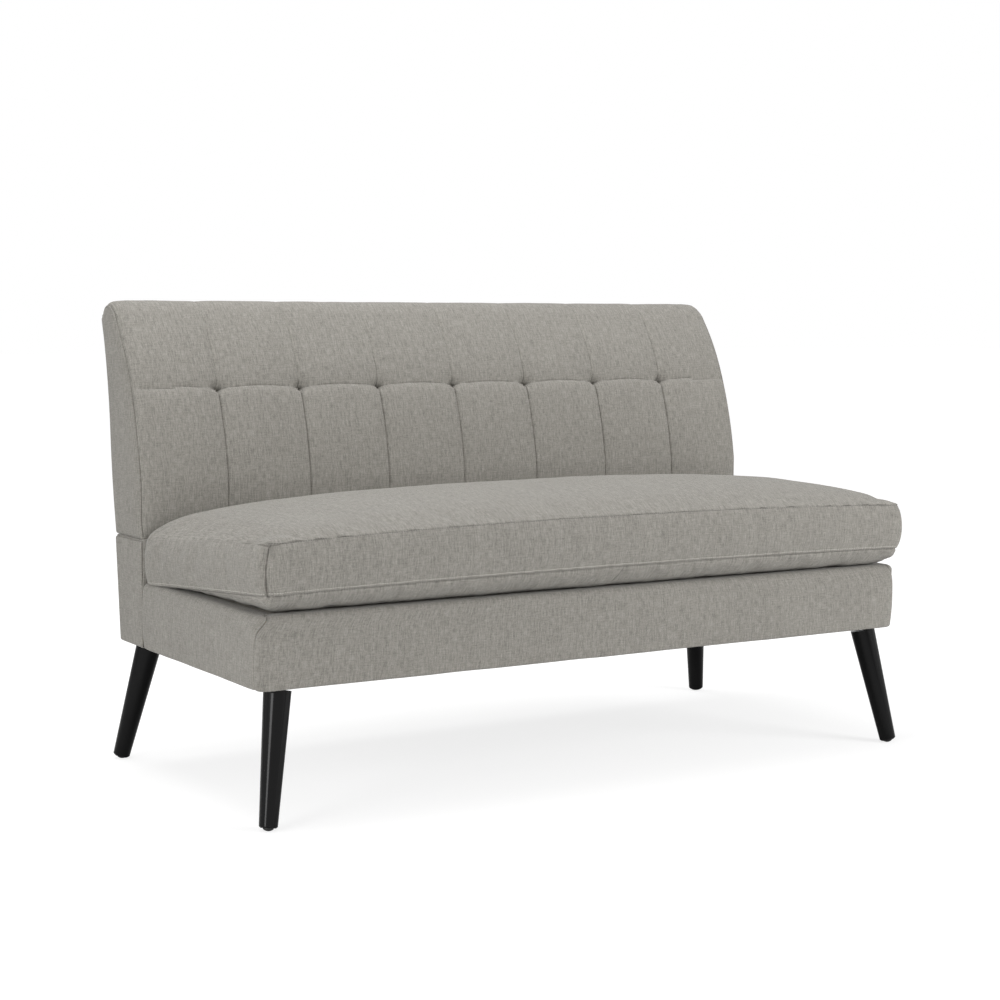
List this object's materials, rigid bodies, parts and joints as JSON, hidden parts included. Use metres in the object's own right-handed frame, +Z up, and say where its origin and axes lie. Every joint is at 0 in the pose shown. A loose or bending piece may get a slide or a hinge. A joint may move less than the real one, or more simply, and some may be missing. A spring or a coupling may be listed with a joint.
{
  "type": "armless two-seat sofa",
  "caption": "Armless upholstered sofa with a loose seat cushion, a tufted leaning backrest on a raised base, and splayed tapered legs.",
  "frame": {"origin": "centre of the bounding box's bottom face, on the floor between the feet", "axes": "+Z up, the seat faces -Y, +X to the right seen from the front"},
  "size_m": [1.3898, 0.7196, 0.8601],
  "materials": {
    "upholstery_fabric": "coarse linen-look weave",
    "deck_fabric": "plain weave",
    "lining_cloth": "thin non-woven",
    "felt": "felt",
    "webbing": "woven elastic",
    "foam": "open-cell foam",
    "frame_wood": "sawn pine and plywood",
    "leg_wood": "black satin lacquer",
    "spring_steel": "drawn wire",
    "zinc_steel": "zinc plated",
    "glide_plastic": "black nylon",
    "toggle_plastic": "moulded",
    "twine": "waxed twine",
    "zipper_tape": "coil zipper on tape"
  },
  "bodies": {
    "base": {"dust_cover": "lining_cloth", "front_rail": "frame_wood", "end_rails": "frame_wood", "rear_rail": "frame_wood", "centre_stretcher": "frame_wood", "spring_cleat": "frame_wood", "corner_blocks": "frame_wood", "riser_posts": "frame_wood", "riser_front_rail": "frame_wood", "riser_rear_rail": "frame_wood", "riser_top_rail": "frame_wood", "front_padding": "foam", "side_paddings": "foam", "seat_springs": "spring_steel", "spring_clips": "zinc_steel", "spring_insulator": "felt", "deck_foam": "foam", "deck_cloth": "deck_fabric", "front_cover": "upholstery_fabric", "left_side_cover": "upholstery_fabric", "right_side_cover": "upholstery_fabric", "riser_side_covers": "upholstery_fabric", "riser_top_cover": "upholstery_fabric", "rear_cover": "upholstery_fabric", "leg_plates": "zinc_steel", "leg_plate_screws": "zinc_steel", "interlock_sockets": "zinc_steel", "socket_screws": "zinc_steel"},
    "seat_cushion": {"cushion_top_cover": "upholstery_fabric", "cushion_band": "upholstery_fabric", "cushion_zipper": "zipper_tape", "cushion_bottom_cover": "upholstery_fabric", "cushion_foam": "foam"},
    "backrest": {"interlock_tongues": "zinc_steel", "tongue_screws": "zinc_steel", "back_stiles": "frame_wood", "back_mid_rail": "frame_wood", "back_top_rail": "frame_wood", "back_bottom_rail": "frame_wood", "back_stretchers": "frame_wood", "back_webbing": "webbing", "back_foam": "foam", "tufting_twines": "twine", "tufting_toggles": "toggle_plastic", "back_front_cover": "upholstery_fabric", "back_side_covers": "upholstery_fabric", "back_rear_cover": "upholstery_fabric", "back_bottom_cover": "upholstery_fabric"},
    "front_left_leg_assembly": {"front_left_leg": "leg_wood", "front_left_hanger_bolt": "zinc_steel", "front_left_glide": "glide_plastic"},
    "front_right_leg_assembly": {"front_right_leg": "leg_wood", "front_right_hanger_bolt": "zinc_steel", "front_right_glide": "glide_plastic"},
    "rear_left_leg_assembly": {"rear_left_leg": "leg_wood", "rear_left_hanger_bolt": "zinc_steel", "rear_left_glide": "glide_plastic"},
    "rear_right_leg_assembly": {"rear_right_leg": "leg_wood", "rear_right_hanger_bolt": "zinc_steel", "rear_right_glide": "glide_plastic"}
  },
  "joints": [
    {"name": "cushion_lift", "type": "slide", "parent": "base", "child": "seat_cushion", "axis": [0, -0.5, 0.866], "range_m": [0, 0.3]},
    {"name": "backrest_lift", "type": "slide", "parent": "base", "child": "backrest", "axis": [0, 0, 1], "range_m": [0, 0.11]},
    {"name": "front_left_leg_removal", "type": "slide", "parent": "base", "child": "front_left_leg_assembly", "axis": [-0.1648, -0.1804, -0.9697], "range_m": [0, 0.042]},
    {"name": "front_right_leg_removal", "type": "slide", "parent": "base", "child": "front_right_leg_assembly", "axis": [0.1648, -0.1804, -0.9697], "range_m": [0, 0.042]},
    {"name": "rear_left_leg_removal", "type": "slide", "parent": "base", "child": "rear_left_leg_assembly", "axis": [-0.1851, 0.1918, -0.9638], "range_m": [0, 0.042]},
    {"name": "rear_right_leg_removal", "type": "slide", "parent": "base", "child": "rear_right_leg_assembly", "axis": [0.1851, 0.1918, -0.9638], "range_m": [0, 0.042]}
  ]
}
